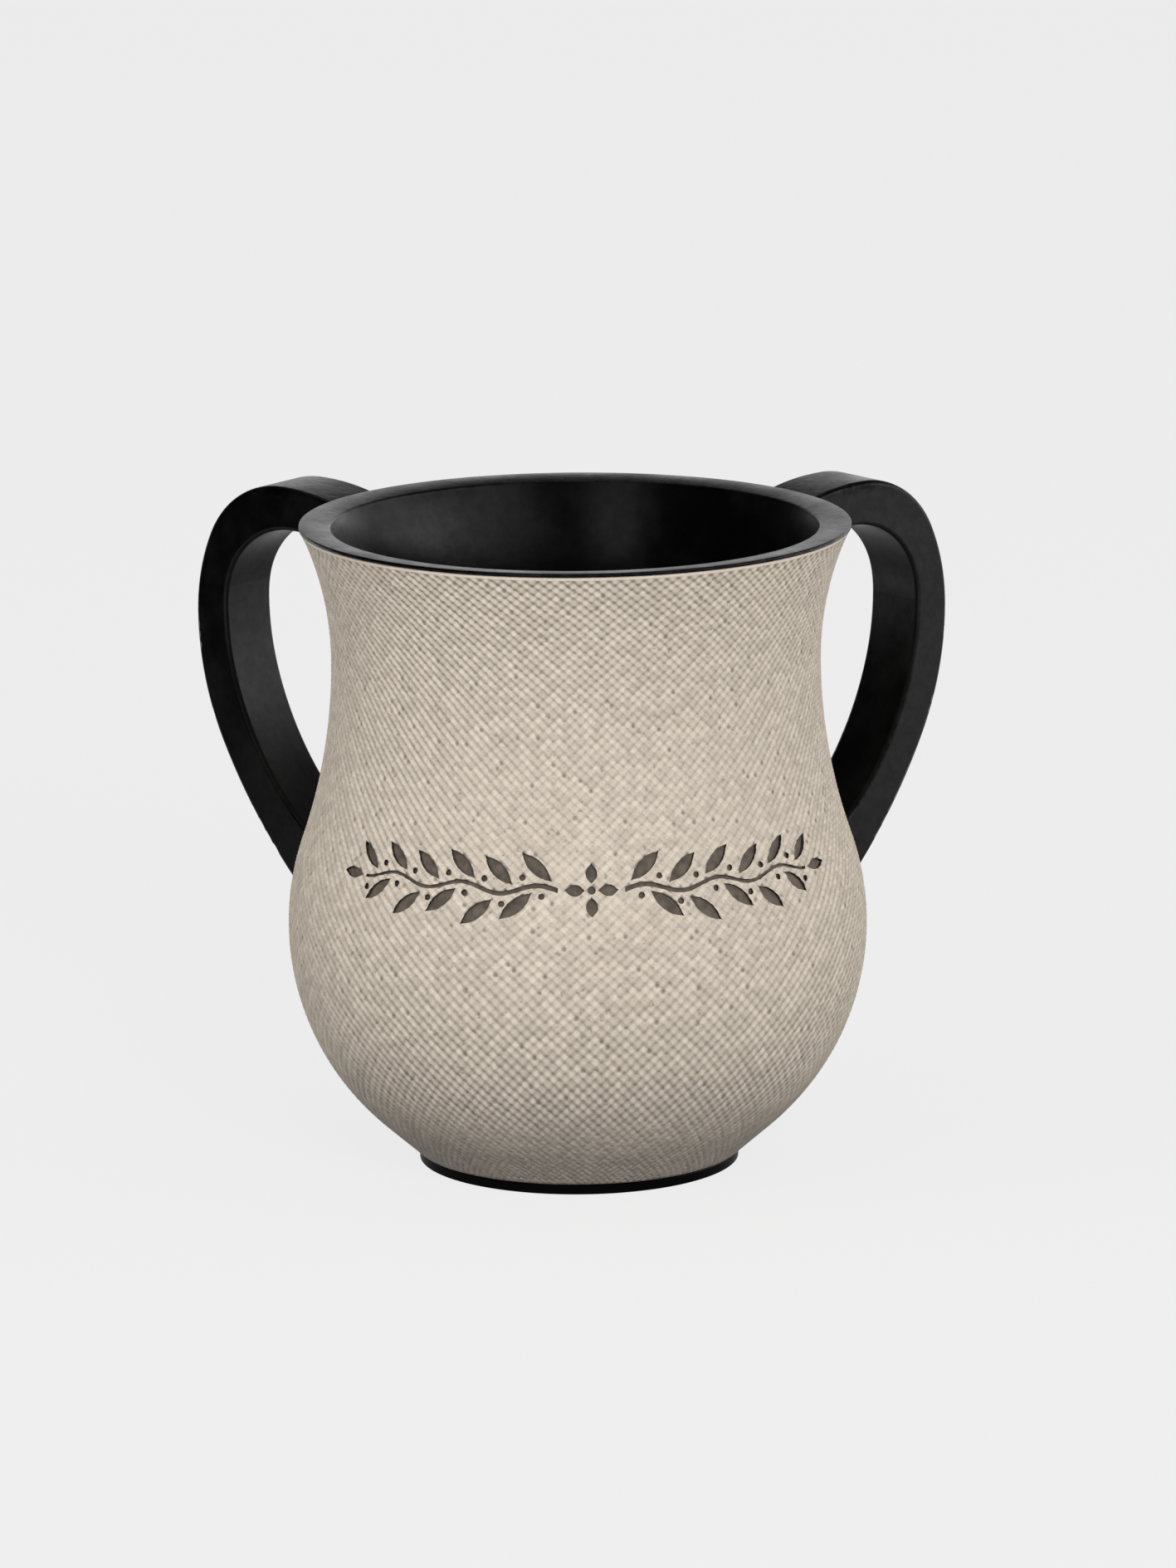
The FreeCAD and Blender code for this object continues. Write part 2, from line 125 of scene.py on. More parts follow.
LEAF_STEPS = 24
BERRY_STEPS = 16

# How far the cutter stands over the wall, and the material slots that its cuts leave.
CUTTER_RISE = 0.0016
FLOOR_SLOT = 1
EDGE_SLOT = 2

# The table: its half width, how bright it looks, the glow that it adds to the light, the grey that
# shadows fall on, and how dark shiny pieces mirror it near the axis, up to a distance.
TABLE_REACH = 6.0
TABLE_SEEN = 0.93
TABLE_GLOW = 0.16
TABLE_SHADED = (0.07, 0.07, 0.07, 1.0)
DARK_TABLE_REACH = (0.14, 0.34)
DARK_TABLE_SHARE = 0.25

# Soft boxes, each named as its power: turn and rise in degrees, distance and width.
LAMPS = {
    "key": (20, 22, 1.7, 0.6),
    "fill": (-62, 20, 1.5, 1.0),
    "side": (88, 12, 1.2, 0.9),
}
LAMP_AIM = Vector((0, 0, 0.07))
MIRRORED_LAMPS = ("side",)

# Glows that only shiny pieces mirror: turn and rise in degrees, and strength. The spread is in
# cosines from a glow's middle.
GLOWS = ((42, 24, 1.1), (-29, 24, 1.15), (66, 8, 0.9), (0, 90, 1.0))
GLOW_SPREAD = (0.9, 0.99)

# The photographed view: the camera's place, its turns, and its focal length in the picture's
# pixels.
CAMERA_AWAY = 1.7
CAMERA_LEVEL = 0.448536
CAMERA_PITCH = 0.215465
CAMERA_ROLL = -0.0064615
CAMERA_YAW = 0.0013275
CAMERA_ORBIT = -0.0155
FOCAL_PIXELS = 10455.76
PICTURE_HEIGHT_PIXELS = 1889
SENSOR_MM = 36.0
CLIP_RANGE = (0.05, 30.0)


# sizes and colours that a user would change


class CupOutline(bpy.types.PropertyGroup):
    """The cup's outside, which the jacket, the ornament and the liner follow."""

    base_radius: FloatProperty(
        name="Base radius", description="Outside radius where the wall meets the foot",
        default=0.0329, unit="LENGTH")
    foot_height: FloatProperty(
        name="Foot height", description="Level of the wall's lower edge",
        default=0.0022, unit="LENGTH")
    belly_radius: FloatProperty(
        name="Belly radius", description="Outside radius at the widest level",
        default=0.0582, unit="LENGTH")
    belly_round: FloatProperty(
        name="Belly round",
        description="Radius of the belly's arc, which ends on the slope over the foot",
        default=0.052843, unit="LENGTH")
    belly_level: FloatProperty(
        name="Belly level", description="Level of the widest part",
        default=0.04836, unit="LENGTH")
    neck_radius: FloatProperty(
        name="Neck radius", description="Outside radius at the narrowest level",
        default=0.049, unit="LENGTH")
    neck_level: FloatProperty(
        name="Neck level", description="Level of the narrowest part",
        default=0.10244, unit="LENGTH")
    lip_radius: FloatProperty(
        name="Lip radius", description="Outside radius of the jacket's upper edge",
        default=0.055, unit="LENGTH")
    lip_level: FloatProperty(
        name="Lip level", description="Level of the jacket's upper edge",
        default=0.1293, unit="LENGTH")
    rim_radius: FloatProperty(
        name="Rim radius", description="Outside radius of the liner's rim",
        default=0.0551, unit="LENGTH")
    rim_level: FloatProperty(
        name="Rim level", description="Level of the rim's flat top",
        default=0.13, unit="LENGTH")
    jacket_wall: FloatProperty(
        name="Jacket wall", description="Thickness of the woven jacket",
        default=0.0029, unit="LENGTH")
    lip_round: FloatProperty(
        name="Lip round", description="Radius of the jacket's smooth upper edge",
        default=0.0005, unit="LENGTH")
    bond_gap: FloatProperty(
        name="Bond gap", description="Glue line between the jacket and the liner",
        default=0.0001, unit="LENGTH")
    liner_wall: FloatProperty(
        name="Liner wall", description="Thickness of the black liner",
        default=0.0027, unit="LENGTH")
    web_top: FloatProperty(
        name="Web top", description="Level of the liner's underside",
        default=0.0054, unit="LENGTH")
    web_bore: FloatProperty(
        name="Web bore", description="Radius of the hole in the jacket's web",
        default=0.0242, unit="LENGTH")
    floor_top: FloatProperty(
        name="Floor top", description="Level of the floor inside the cup",
        default=0.009, unit="LENGTH")
    floor_round: FloatProperty(
        name="Floor round", description="Radius between the floor and the wall inside",
        default=0.006, unit="LENGTH")
    rim_inner_round: FloatProperty(
        name="Rim inner round", description="Radius of the rim's inner edge",
        default=0.0006, unit="LENGTH")
    rim_outer_round: FloatProperty(
        name="Rim outer round", description="Radius of the rim's outer edge",
        default=0.0003, unit="LENGTH")
    rim_inner_lean: FloatProperty(
        name="Rim inner lean", description="How far the softly domed rim falls at its inner edge",
        default=0.24, unit="ROTATION")
    rim_outer_lean: FloatProperty(
        name="Rim outer lean", description="How far the softly domed rim falls at its outer edge",
        default=0.04, unit="ROTATION")


class WeaveLook(bpy.types.PropertyGroup):
    """The woven relief of the jacket and its colours."""

    beads_round: IntProperty(
        name="Beads round", description="Beads in one level round of the weave",
        default=148, min=24)
    relief: FloatProperty(
        name="Relief", description="Depth from the tops of the beads to the gaps between them",
        default=0.0003, unit="LENGTH")
    drift: FloatProperty(
        name="Drift", description="How far the rows wander from even spacing",
        default=0.00016, unit="LENGTH")
    bead_colour: FloatVectorProperty(
        name="Bead colour", description="Tops of the beads",
        default=(0.68, 0.598, 0.50), subtype="COLOR", size=3)
    # Gaps between the beads: their darkness is partly stain and partly painted shade.
    gap_colour: FloatVectorProperty(
        name="Gap colour", description="Gaps between the beads",
        default=(0.52, 0.458, 0.378), subtype="COLOR", size=3)
    blush_colour: FloatVectorProperty(
        name="Blush colour", description="Warm patches over the weave",
        default=(0.60, 0.515, 0.425), subtype="COLOR", size=3)
    # Painted shade: the colour that the wall greys to towards the foot.
    foot_shade_colour: FloatVectorProperty(
        name="Dusk colour", description="Greyer zone near the foot",
        default=(0.36, 0.32, 0.29), subtype="COLOR", size=3)


class OrnamentLook(bpy.types.PropertyGroup):
    """The engraved branch on the front."""

    level: FloatProperty(
        name="Level", description="Level of the branch's stem",
        default=0.0672, unit="LENGTH")
    turn: FloatProperty(
        name="Turn", description="Turn of the branch's middle about the cup's axis",
        default=0.035, unit="ROTATION")
    reach: FloatProperty(
        name="Reach", description="Length of the branch on each side of its middle",
        default=0.0575, unit="LENGTH")
    depth: FloatProperty(
        name="Depth", description="Depth of the engraving",
        default=0.0008, unit="LENGTH")
    leaf_length: FloatProperty(
        name="Leaf length", description="Length of a full leaf",
        default=0.0084, unit="LENGTH")
    leaf_width: FloatProperty(
        name="Leaf width", description="Width of a full leaf",
        default=0.0027, unit="LENGTH")
    recess_colour: FloatVectorProperty(
        name="Recess colour", description="Stain in the engraving",
        default=(0.15, 0.125, 0.10), subtype="COLOR", size=3)


class ResinLook(bpy.types.PropertyGroup):
    """The black parts."""

    resin_colour: FloatVectorProperty(
        name="Resin colour", description="Liner and handles",
        default=(0.0008, 0.0007, 0.0009), subtype="COLOR", size=3)
    bloom_colour: FloatVectorProperty(
        name="Bloom colour", description="Faint grey bloom on the resin",
        default=(0.0032, 0.0029, 0.0031), subtype="COLOR", size=3)
    gloss_colour: FloatVectorProperty(
        name="Gloss colour", description="Lacquered foot",
        default=(0.0008, 0.0008, 0.0009), subtype="COLOR", size=3)
    felt_colour: FloatVectorProperty(
        name="Felt colour", description="Pad under the foot",
        default=(0.03, 0.03, 0.032), subtype="COLOR", size=3)


class StudioLook(bpy.types.PropertyGroup):
    """The table and the lamps."""

    table_colour: FloatVectorProperty(
        name="Table colour", description="Pale table and backdrop",
        default=(0.855, 0.855, 0.855), subtype="COLOR", size=3)
    ambient: FloatProperty(
        name="Ambient", description="Even light from all round",
        default=0.47, min=0.0)
    key: FloatProperty(
        name="Key", description="Power of the soft box to the right of the camera",
        default=17.9, unit="POWER")
    fill: FloatProperty(
        name="Fill", description="Power of the soft box at the cup's left",
        default=9.0, unit="POWER")
    side: FloatProperty(
        name="Side", description="Power of the soft box at the cup's right",
        default=2.2, unit="POWER")


# shared making steps


def outline():
    """The sizes of the cup's outside."""
    return bpy.context.scene.cup_outline


def wall_arcs(inset=0.0):
    """The belly, waist and flare arcs of the outside, inset."""
    o = outline()
    belly = o.belly_round
    swell, rise = o.lip_radius - o.neck_radius, o.lip_level - o.neck_level
    flare = (swell ** 2 + rise ** 2) / (2 * swell)
    across, rise = o.neck_radius - o.belly_radius + belly, o.neck_level - o.belly_level
    waist = (across ** 2 + rise ** 2 - belly ** 2) / (2 * (o.belly_radius - o.neck_radius))
    return (
        Arc(o.belly_radius - belly, o.belly_level, belly - inset),
        Arc(o.neck_radius + waist, o.neck_level, waist + inset),
        Arc(o.neck_radius + flare, o.neck_level, flare + inset),
    )


def turn_at(arc, level):
    """The turn at which an arc passes a level."""
    return math.asin((level - arc.level) / arc.radius)


def shoulder_turn(belly, waist):
    """The turn at which the belly's arc hands over to the waist's."""
    return math.atan2(waist.level - belly.level, waist.reach - belly.reach)


def slope_turn():
    """The turn of the belly's arc at which the slope over the foot meets it."""
    o = outline()
    across = o.base_radius - o.belly_radius + o.belly_round
    fall = o.foot_height - o.belly_level
    return math.atan2(fall, across) + math.acos(o.belly_round / math.hypot(across, fall))


def slope_ends(low, inset):
    """The two ends of the slope: at a low level, and where the belly's arc takes over."""
    belly = wall_arcs(inset)[0]
    turn = slope_turn()
    centre = Vector((belly.reach, 0, belly.level))
    meet = centre + belly.radius * Vector((math.cos(turn), 0, math.sin(turn)))
    return Vector((meet.x + (meet.z - low) * math.tan(turn), 0, low)), meet


def wall_stretches(low, high, inset, steps):
    """The wall from a low to a high level: its start, and its stretches for carry_on.

    steps has one tuple for each of the slope, the lower belly, the upper belly, the waist and the
    flare, with a number for each equal stretch.
    """
    belly, waist, flare = wall_arcs(inset)
    shoulder = shoulder_turn(belly, waist)
    start, meet = slope_ends(low, inset)
    stretches = [(AXIS_FOOT, 0, (meet - start) / steps[0][0], steps[0][0])]
    turns = (-slope_turn(), shoulder, -shoulder, -turn_at(flare, high))
    for arc, turn, counts in zip((belly, belly, waist, flare), turns, steps[1:]):
        for count in counts:
            stretches.append(((arc.reach, 0, arc.level), turn / len(counts), NO_SHIFT, count))
    return start, stretches


def carry_on(bm, last, stretches):
    """Spins or shifts a profile on from its last vertex, and returns the new last vertex."""
    for centre, turn, shift, steps in stretches:
        spun = bmesh.ops.spin(
            bm, geom=[last], cent=centre, axis=(0, -1, 0), angle=turn, dvec=shift, steps=steps,
            use_duplicate=False)
        last = next(part for part in spun["geom_last"] if isinstance(part, bmesh.types.BMVert))
    return last


def round_off(bm, last, centre, turn, steps):
    """Carries a profile on round one edge."""
    return carry_on(bm, last, [(centre, turn, NO_SHIFT, steps)])


def run_to(bm, last, reach, level):
    """A straight edge of a profile."""
    end = bm.verts.new((reach, 0, level))
    bm.edges.new((last, end))
    return end


def turn_round(bm, steps):
    """Turns a profile about the cup's axis into a closed skin."""
    bmesh.ops.spin(
        bm, geom=bm.verts[:] + bm.edges[:], cent=AXIS_FOOT, axis=(0, 0, 1),
        angle=math.tau, steps=steps, use_merge=True)
    bmesh.ops.remove_doubles(bm, verts=bm.verts, dist=MERGE_DISTANCE)
    bmesh.ops.recalc_face_normals(bm, faces=bm.faces)


def link_mesh(bm, name, materials):
    """Makes an object of a bmesh, with its materials, and puts it in the scene."""
    mesh = bpy.data.meshes.new(name)
    bm.to_mesh(mesh)
    bm.free()
    for material in materials:
        mesh.materials.append(material)
    item = bpy.data.objects.new(name, mesh)
    bpy.context.scene.collection.objects.link(item)
    return item


def finish_piece(bm, name, materials, slot, *nodes):
    """Makes a piece of a bmesh, rides it on the cup and lets it stand for its nodes."""
    piece = link_mesh(bm, name, materials)
    piece.data.shade_smooth()
    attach(piece, BODY)
    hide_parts(*nodes)
    return piece


def give_finish(name, material):
    """Puts a finish on a piece of the frame."""
    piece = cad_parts[name]
    if not piece.material_slots:
        piece.data.materials.append(material)
    for slot in piece.material_slots:
        slot.material = material


def engrave(piece, cutter):
    """Cuts a cutter out of a piece for good, and removes the cutter."""
    cut = piece.modifiers.new("engraving", "BOOLEAN")
    cut.object = cutter
    cut.operation = "DIFFERENCE"
    cut.solver = "MANIFOLD"
    depsgraph = bpy.context.evaluated_depsgraph_get()
    mesh = bpy.data.meshes.new_from_object(piece.evaluated_get(depsgraph))
    piece.modifiers.clear()
    piece.data = mesh
    bpy.data.objects.remove(cutter)


def share_between(value, low, high):
    """How far a value has gone from low to high, from 0 to 1."""
    return max(0.0, min(1.0, (value - low) / (high - low)))


# materials


class Nodes:
    """Builds one node tree: a new material's, or the one that is given."""

    def __init__(self, name="", tree=None):
        if tree is None:
            self.material = bpy.data.materials.new(name)
            self.material.use_nodes = True
            tree = self.material.node_tree
            self.shader = tree.nodes["Principled BSDF"]
        self.tree = tree

    def put(self, socket, value):
        """Links a socket to another one, or gives it a plain value."""
        if isinstance(value, bpy.types.NodeSocket):
            self.tree.links.new(value, socket)
        else:
            socket.default_value = value

    def add(self, kind, inputs=(), **settings):
        """A new node with its settings and inputs."""
        node = self.tree.nodes.new(kind)
        for key, value in settings.items():
            setattr(node, key, value)
        for key, value in dict(inputs).items():
            self.put(node.inputs[key], value)
        return node

    def position(self):
        """The place on the piece, in metres."""
        return self.add("ShaderNodeTexCoord").outputs["Object"]

    def split(self, vector):
        """The three numbers of a vector."""
        return self.add("ShaderNodeSeparateXYZ", inputs={"Vector": vector}).outputs

    def rays(self):
        """Whether a ray comes from the camera, and whether it comes off something shiny."""
        rays = self.add("ShaderNodeLightPath").outputs
        shiny = self.maths("MAXIMUM", rays["Is Glossy Ray"], rays["Is Transmission Ray"])
        return rays["Is Camera Ray"], shiny

    def maths(self, operation, *values):
        """One step of arithmetic."""
        node = self.add("ShaderNodeMath", operation=operation)
        for socket, value in zip(node.inputs, values):
            self.put(socket, value)
        return node.outputs[0]

    def ramp(self, value, low, high, start=0.0, end=1.0):
        """A smooth step from start to end as value goes from low to high."""
        inputs = {"Value": value, "From Min": low, "From Max": high, "To Min": start, "To Max": end}
        node = self.add("ShaderNodeMapRange", interpolation_type="SMOOTHSTEP", inputs=inputs)
        return node.outputs["Result"]

    def noise(self, where, scale, detail=2.0, roughness=0.5):
        """Soft noise from 0 to 1. scale counts its waves in a metre."""
        inputs = {"Vector": where, "Scale": scale, "Detail": detail, "Roughness": roughness}
        return self.add("ShaderNodeTexNoise", inputs=inputs).outputs["Fac"]

    def mix(self, factor, first, second, blend_type="MIX"):
        """Two colours, mixed."""
        node = self.add("ShaderNodeMix", data_type="RGBA", blend_type=blend_type)
        self.put(node.inputs["Factor"], factor)
        self.put(node.inputs[6], first)
        self.put(node.inputs[7], second)
        return node.outputs[2]

    def random(self, x, y):
        """A number from 0 to 1 for each pair of whole numbers."""
        pair = self.add("ShaderNodeCombineXYZ", inputs={"X": x, "Y": y}).outputs[0]
        node = self.add("ShaderNodeTexWhiteNoise", noise_dimensions="2D", inputs={"Vector": pair})
        return node.outputs["Value"]

    def bump(self, height, distance):
        """A normal that a height tilts. distance is the depth in metres."""
        node = self.add("ShaderNodeBump", inputs={"Height": height, "Distance": distance})
        return node.outputs[0]

    def finish(self, **inputs):
        """Gives the shader its inputs, by their names with _ for a space."""
        for key, value in inputs.items():
            self.put(self.shader.inputs[key.replace("_", " ")], value)
        return self.material


def colour(value, share=1.0):
    """A colour for a socket, darkened or brightened by a share."""
    return (*(share * c for c in value), 1.0)


def woven_stone():
    """Cast weave: pale beads over gaps darkened by stain and painted shade, rubbed in places, with
    grit, and painted shade that greys the wall towards the foot.
    """
    look = bpy.context.scene.weave_look
    n = Nodes("woven_stone")
    where = n.position()
    aside, _, level = n.split(where)
    across, up, _ = n.split(n.add("ShaderNodeUVMap", uv_map="weave").outputs[0])
    rising, falling = n.maths("ADD", across, up), n.maths("SUBTRACT", across, up)
    bead = n.random(n.maths("ROUND", rising), n.maths("ROUND", falling))
    gap = n.random(n.maths("FLOOR", rising), n.maths("FLOOR", falling))

    # two families of rows cross: the first leads more towards the neck, and rubbing calms both
    first, second = (
        n.maths("COSINE", n.maths("MULTIPLY", row, math.tau)) for row in (rising, falling))
    leading = n.ramp(level, *LEADING_LEVELS, *LEADING_SHARES)
    wave = n.maths("SUBTRACT", first, second)
    wave = n.maths("ADD", second, n.maths("MULTIPLY", leading, wave))
    rubbed_left = n.ramp(aside, *RUBBED_LEFT, 0.0, RUBBED_LEFT_SHARE)
    rubbed = n.maths("MAXIMUM", rubbed_left, n.ramp(level, *RUBBED_FOOT_LEVELS))
    wave = n.maths("MULTIPLY", wave, n.maths("MULTIPLY_ADD", rubbed, -RUBBED_CALM, 1.0))

    # from darker gaps to pale beads, the gaps darkened by stain and painted shade, with warm
    # patches, a paler lip, and painted shade that greys the wall towards the foot
    grit = n.noise(where, 2600.0, 3.0, 0.7)
    fine = n.noise(where, 1000.0, 3.0, 0.65)
    cloth = n.noise(where, 330.0, 2.0, 0.5)
    patch = n.noise(where, 55.0, 3.0, 0.6)
    # the rows darken the gaps, partly as stain and partly as painted shade, and noise adds wear
    wear_and_gap_shade = n.maths("MULTIPLY_ADD", fine, 1.2, n.maths("MULTIPLY_ADD", wave, 0.26, -0.60))
    wear_and_gap_shade = n.maths("ADD", wear_and_gap_shade, n.maths("MULTIPLY_ADD", cloth, 0.4, -0.20))
    stone = n.mix(n.ramp(wear_and_gap_shade, -0.9, 0.75), colour(look.gap_colour), colour(look.bead_colour))
    stone = n.mix(n.ramp(patch, 0.46, 0.68, 0.0, 0.32), stone, colour(look.blush_colour))
    stone = n.mix(n.ramp(level, *PALE_LIP_LEVELS, 0.0, 0.4), stone, colour(look.bead_colour))
    # painted shade: darker and greyer towards the foot, along a wandering edge
    shade_edge_wander = n.maths("MULTIPLY", n.noise(where, 60.0), FOOT_SHADE_WANDER)
    foot_shade_mask = n.ramp(n.maths("ADD", level, shade_edge_wander), *FOOT_SHADE_LEVELS)
    stone = n.mix(n.maths("MULTIPLY", foot_shade_mask, 0.6), stone, colour(look.foot_shade_colour))

    # each bead has a shade of its own
    shade = n.maths("MULTIPLY_ADD", bead, 0.24, n.maths("MULTIPLY_ADD", grit, 0.5, 0.63))
    grey = n.add("ShaderNodeCombineColor", inputs={0: shade, 1: shade, 2: shade}).outputs[0]
    stone = n.mix(1.0, stone, grey, "MULTIPLY")

    # smudges and specks lie in the gaps
    smudge = n.ramp(n.noise(where, 460.0, 2.0, 0.6), 0.6, 0.7)
    smudge = n.maths("MULTIPLY", smudge, n.ramp(wave, 0.35, -0.7))
    speck = n.maths("GREATER_THAN", gap, 0.968)
    speck = n.maths("MULTIPLY", speck, n.ramp(wave, 0.0, -0.9))
    dark = n.maths("MAXIMUM", n.maths("MULTIPLY", smudge, 0.5), n.maths("MULTIPLY", speck, 0.6))
    stone = n.mix(dark, stone, SMUDGE_COLOUR)

    grain = n.maths("MULTIPLY", fine, n.maths("MULTIPLY", rubbed, 1.3))
    height = n.maths("MULTIPLY_ADD", wave, 0.75, n.maths("MULTIPLY_ADD", grit, 0.45, grain))
    return n.finish(
        Base_Color=stone,
        Roughness=n.ramp(grit, 0.3, 0.7, 0.72, 0.9),
        Specular_IOR_Level=0.22,
        Normal=n.bump(height, look.relief))


def engraved_stain():
    """The dark stain that stays in the engraving."""
    stain = bpy.context.scene.ornament_look.recess_colour
    n = Nodes("engraved_stain")
    where = n.position()
    smear = n.noise(where, 500.0, 3.0, 0.6)
    grain = n.noise(where, 2400.0, 2.0, 0.6)
    return n.finish(
        Base_Color=n.mix(n.ramp(smear, 0.3, 0.7), colour(stain, 0.55), colour(stain)),
        Roughness=n.ramp(grain, 0.3, 0.7, 0.5, 0.75),
        Specular_IOR_Level=0.25,
        Normal=n.bump(n.maths("ADD", smear, n.maths("MULTIPLY", grain, 0.4)), 0.00012))


def engraved_edge():
    """The nearly black walls of the engraving."""
    n = Nodes("engraved_edge")
    grain = n.noise(n.position(), 1800.0, 2.0, 0.6)
    return n.finish(
        Base_Color=n.mix(n.ramp(grain, 0.35, 0.65), *EDGE_COLOURS),
        Roughness=n.ramp(grain, 0.3, 0.7, 0.6, 0.8),
        Specular_IOR_Level=0.2)


def black_resin():
    """Cast black resin: satin, a little uneven, with faint bloom and pits, and a worn rim."""
    look = bpy.context.scene.resin_look
    n = Nodes("black_resin")
    where = n.position()
    _, _, level = n.split(where)
    cloud = n.noise(where, 70.0, 4.0, 0.65)
    pits = n.noise(where, 1500.0, 2.0, 0.5)
    swell = n.noise(where, 160.0, 2.0, 0.5)
    rubbed = n.ramp(n.noise(where, 420.0, 4.0, 0.75), 0.35, 0.65, 0.88, 1.12)
    tone = n.mix(n.ramp(cloud, 0.48, 0.72), colour(look.resin_colour), colour(look.bloom_colour))
    rim = n.ramp(level, *WORN_RIM_LEVELS)
    handled = n.ramp(n.noise(where, 320.0, 4.0, 0.7), 0.42, 0.6)
    handled = n.maths("MULTIPLY", rim, handled)
    scuffs = n.maths("MULTIPLY", rim, n.noise(where, 700.0, 3.0, 0.6))

    # it shines more where it is seen edge on, and less where hands have dulled it
    facing = n.add("ShaderNodeLayerWeight", inputs={"Blend": 0.5}).outputs["Facing"]
    edge_on = n.ramp(facing, 0.84, 0.96, 0.0, 0.4)
    shine = n.maths("ADD", n.ramp(facing, 0.45, 0.8, 0.24, 0.6), edge_on)
    dulled = n.maths("MULTIPLY_ADD", handled, -0.55, n.maths("MULTIPLY", rubbed, 1.1))
    # the plain value serves wherever the link isn't read
    n.finish(Specular_IOR_Level=0.3)
    return n.finish(
        Base_Color=tone,
        Roughness=n.ramp(cloud, 0.3, 0.7, 0.25, 0.36),
        Specular_IOR_Level=n.maths("MULTIPLY", shine, dulled),
        Normal=n.bump(n.maths("ADD", swell, n.maths("MULTIPLY_ADD", pits, 0.12, scuffs)), 0.00006))


def black_gloss():
    """Lacquered black of the foot."""
    lacquer = bpy.context.scene.resin_look.gloss_colour
    n = Nodes("black_gloss")
    cloud = n.noise(n.position(), 120.0, 3.0, 0.6)
    return n.finish(
        Base_Color=n.mix(cloud, colour(lacquer), colour(lacquer, 2)),
        Roughness=n.ramp(cloud, 0.3, 0.7, 0.14, 0.22),
        Specular_IOR_Level=0.07,
        Normal=n.bump(cloud, 0.00002))


def pad_felt():
    """Pressed felt under the foot."""
    felt = bpy.context.scene.resin_look.felt_colour
    n = Nodes("pad_felt")
    fibre = n.noise(n.position(), 3000.0, 4.0, 0.7)
    return n.finish(
        Base_Color=n.mix(fibre, colour(felt, 0.5), colour(felt, 1.6)),
        Roughness=0.95,
        Sheen_Weight=0.4,
        Normal=n.bump(fibre, 0.0002))


def pin_steel():
    """Drawn steel of the hidden dowels."""
    n = Nodes("pin_steel")
    drawn = n.noise(n.position(), 1200.0, 3.0, 0.6)
    return n.finish(
        Base_Color=n.mix(drawn, *STEEL_COLOURS),
        Metallic=1.0,
        Roughness=n.ramp(drawn, 0.3, 0.7, 0.28, 0.42),
        Normal=n.bump(drawn, 0.00003))


# jacket and liner


def weave_rows(bm, row, steps):
    """Gives each outer face its place in the weave, and returns those faces and each column.

    The weave counts beads round the cup across, and beads along the wall up.
    """
    weave = bm.loops.layers.uv.new("weave")
    columns = {v: round(math.atan2(v.co.y, v.co.x) / math.tau * steps) % steps for v in bm.verts}
    outer = [f for f in bm.faces if all(v[row] >= 0 for v in f.verts)]
    for face in outer:
        around = [columns[v] for v in face.verts]
        seam = min(around) == 0 and max(around) == steps - 1
        for loop in face.loops:
            column = columns[loop.vert]
            if seam and column == 0:
                column = steps
            loop[weave].uv = (column / 2, loop.vert[row] / 2)
    return outer, columns


def raise_beads(bm, row, columns, grid):
    """Sinks the gaps and lets the rows wander. The tops of the beads stay on the wall's outside."""
    look = bpy.context.scene.weave_look
    last = max(v[row] for v in grid)
    bm.normal_update()
    noise.seed_set(NOISE_SEED)
    moves = []
    for v in bm.verts:
        edge = v in grid and v[row] in (0, last)
        if edge or v not in grid:
            rise = 0.0
        elif v[row] >= 0:
            rise = 1.0 if (columns[v] + v[row]) % 2 == 0 else -1.0
        else:
            continue
        normal = Vector((v.co.x, v.co.y, 0)).normalized() if edge else v.normal
        rubbed_left = min(RUBBED_LEFT_SHARE, share_between(v.co.x, *FLATTENED_LEFT))
        rubbed = max(share_between(v.co.z, *RUBBED_FOOT_LEVELS), rubbed_left)
        calm = 1.0 - RUBBED_CALM * rubbed
        uneven = min(1.0, 1.0 + 0.5 * noise.noise(v.co * UNEVEN_SCALE))
        depth = 0.5 * look.relief * (1.0 - rise * calm * uneven) if v[row] != last else 0.0
        moves.append((v, normal, depth, edge))
    for v, normal, depth, edge in moves:
        wander = Vector() if edge else noise.noise_vector(v.co * WANDER_SCALE) * look.drift
        wander -= normal * wander.dot(normal)
        v.co = v.co + wander - normal * depth


def make_jacket_mesh():
    """The jacket's closed section, turned about the axis, with its beads."""
    o, look = outline(), bpy.context.scene.weave_look
    bm = bmesh.new()
    row = bm.verts.layers.int.new("row")

    # the outside, a row of the weave for each vertex, up to where the lip's round begins
    flare = wall_arcs()[2]
    high = o.lip_level - o.lip_round * (1 - flare.level / flare.radius)
    high /= 1 + o.lip_round / flare.radius
    start, stretches = wall_stretches(o.foot_height, high, 0.0, WEAVE_STEPS)
    first = bm.verts.new(start)
    last = carry_on(bm, first, stretches)
    bm.verts.ensure_lookup_table()
    for number, vert in enumerate(bm.verts):
        vert[row] = number
    count = len(bm.verts)

    # the lip, the back and the web under the liner
    lean = turn_at(flare, high)
    centre = last.co + o.lip_round * Vector((-math.cos(lean), 0, math.sin(lean)))
    last = round_off(bm, last, centre, math.pi / 2 + lean, LIP_STEPS)
    start, stretches = wall_stretches(o.web_top, o.lip_level, o.jacket_wall, JACKET_BACK_STEPS)
    back = bm.verts.new(start)
    bm.edges.new((last, carry_on(bm, back, stretches)))
    bore = run_to(bm, back, o.web_bore, o.web_top)
    bore = run_to(bm, bore, o.web_bore, o.foot_height)
    bm.edges.new((bore, first))
    bm.verts.ensure_lookup_table()
    for vert in bm.verts[count:]:
        vert[row] = -1

    steps = 2 * look.beads_round
    turn_round(bm, steps)
    outer, columns = weave_rows(bm, row, steps)
    grid = set(bm.verts)
    bmesh.ops.poke(bm, faces=outer)
    raise_beads(bm, row, columns, grid)
    return bm


